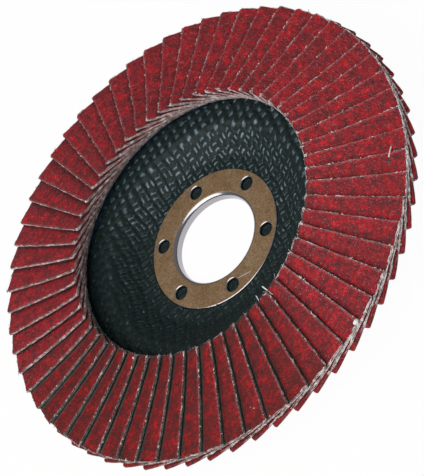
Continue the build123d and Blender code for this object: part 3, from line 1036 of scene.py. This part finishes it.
def pebbles(centres, sizes, turns, rings=6, sides=12, first=0):
    # balls stretched to their own half sizes, turned about the upright and moved to their places
    up = np.linspace(-0.5, 0.5, rings + 2)[1:-1] * np.pi
    turn = np.linspace(0, 2 * np.pi, sides, endpoint=False)
    ball = np.stack([np.cos(up)[:, None] * np.cos(turn), np.cos(up)[:, None] * np.sin(turn),
                     np.sin(up)[:, None] + 0 * turn], -1).reshape(-1, 3)
    ball = np.concatenate([ball, [[0, 0, -1], [0, 0, 1]]])[None] * sizes[:, None]
    c, s = np.cos(turns)[:, None], np.sin(turns)[:, None]
    x, y, z = np.moveaxis(ball, -1, 0)
    points = np.stack([x * c - y * s, x * s + y * c, z], -1) + centres[:, None]
    return points.reshape(-1, 3), *closedFaces(len(centres), rings, sides, first)


beads = {
    "count": 46, "circle": 32.95, "shift": (-0.15, 0.25), "turn": (-3, 3), "sunk": 0.05,
    "radius": 0.36, "sizes": (0.5, 1.3), "long": (1.0, 2.2), "flat": 0.55,
}


def addBeads(resin):
    # resin squeezed out at the flaps' feet: flattened balls, each its own size
    rng = np.random.default_rng(11)
    count = beads["count"]
    angle = np.radians(360 / count * np.arange(count) + rng.uniform(*beads["turn"], count))
    r = beads["circle"] + rng.uniform(*beads["shift"], count)
    size = beads["radius"] * rng.uniform(*beads["sizes"], count)
    stretch = [np.ones(count), rng.uniform(*beads["long"], count), np.full(count, beads["flat"])]
    sizes = size[:, None] * np.stack(stretch, -1)
    centres = np.stack([r * np.cos(angle), r * np.sin(angle), rimTop(r) - beads["sunk"]], -1)
    points, quads, caps = pebbles(centres, sizes, angle)
    piece = makePiece("adhesiveBeads", points, [quads, caps], [resin])


# bits of lint and dust on the flaps; a place is a flap, x and y in its plan and the height above it
lint = {
    "stations": 7, "sides": 8, "bow": (0.1, 0.05, 0.12), "white": -0.9,
    "crumbTurn": 0.7,
    "threads": [   # two ends and the radius
        ((52, 53.81, 2.23, 0.25), (51, 53.19, 4.86, 0.15), 0.17),
        ((43, 34.73, 2.96, 0.10), (43, 31.67, 2.75, 0.40), 0.16),
        ((42, 33.00, 3.20, 0.10), (42, 31.90, 3.45, 0.20), 0.10),
    ],
    "crumbs": [    # half sizes and how dark it is
        ((52, 54.60, 1.51, 0.05), (0.55, 0.20, 0.16), 1.3),
        ((51, 53.06, 3.85, 0.05), (0.42, 0.34, 0.20), 1.4),
        ((44, 56.96, 5.47, 0.10), (0.55, 0.75, 0.40), -0.9),
        ((39, 53.13, 3.98, 0.02), (0.28, 0.20, 0.14), -0.1),
        ((39, 52.40, 3.20, 0.02), (0.20, 0.16, 0.12), -0.1),
        ((40, 56.78, 0.77, 0.02), (0.30, 0.22, 0.14), -0.1),
        ((31, 34.03, 5.44, 0.05), (0.30, 0.24, 0.20), -0.6),
        ((42, 33.00, 2.20, 0.05), (0.34, 0.26, 0.22), -0.6),
    ],
}


def onFlap(spot):
    k, x, y, above = spot
    place = flapPlace(k, np.random.default_rng(1000 + k))
    return toDisc(x, y, flapUnder(x, y) + disc["flapThickness"] + above, place)


def addLint(yarn):
    # short straight threads with a slight bow, and flat crumbs
    stations, bow = lint["stations"], np.array(lint["bow"])
    q = np.linspace(0, 1, stations)[:, None]
    paths = np.array([onFlap(a) * (1 - q) + onFlap(b) * q + bow * q * (1 - q)
                      for a, b, _ in lint["threads"]])
    radii = np.array([[r] * stations for *_, r in lint["threads"]])
    points, quads, caps = tubes(paths, radii, lint["sides"])
    centres = np.array([onFlap(spot) for spot, _, _ in lint["crumbs"]])
    sizes = np.array([size for _, size, _ in lint["crumbs"]])
    dark = np.array([tone for *_, tone in lint["crumbs"]])
    turns = lint["crumbTurn"] * np.arange(len(dark))
    more, moreQuads, moreCaps = pebbles(centres, sizes, turns, first=len(points))
    tone = np.concatenate([np.full(len(points), lint["white"]),
                           np.repeat(dark, len(more) // len(dark))])
    faces = [np.concatenate([quads, moreQuads]), np.concatenate([caps, moreCaps])]
    piece = makePiece("lint", np.concatenate([points, more]), faces, [yarn],
                      values={"tone": tone})


resin = blueResin()
for node, material in (("arbor_ring", platedRing()), ("adhesive_bed", resin)):
    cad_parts[node].data.materials.clear()
    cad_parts[node].data.materials.append(material)
addBeads(resin)
addLint(yarn)
print("ring and adhesive have their finish")
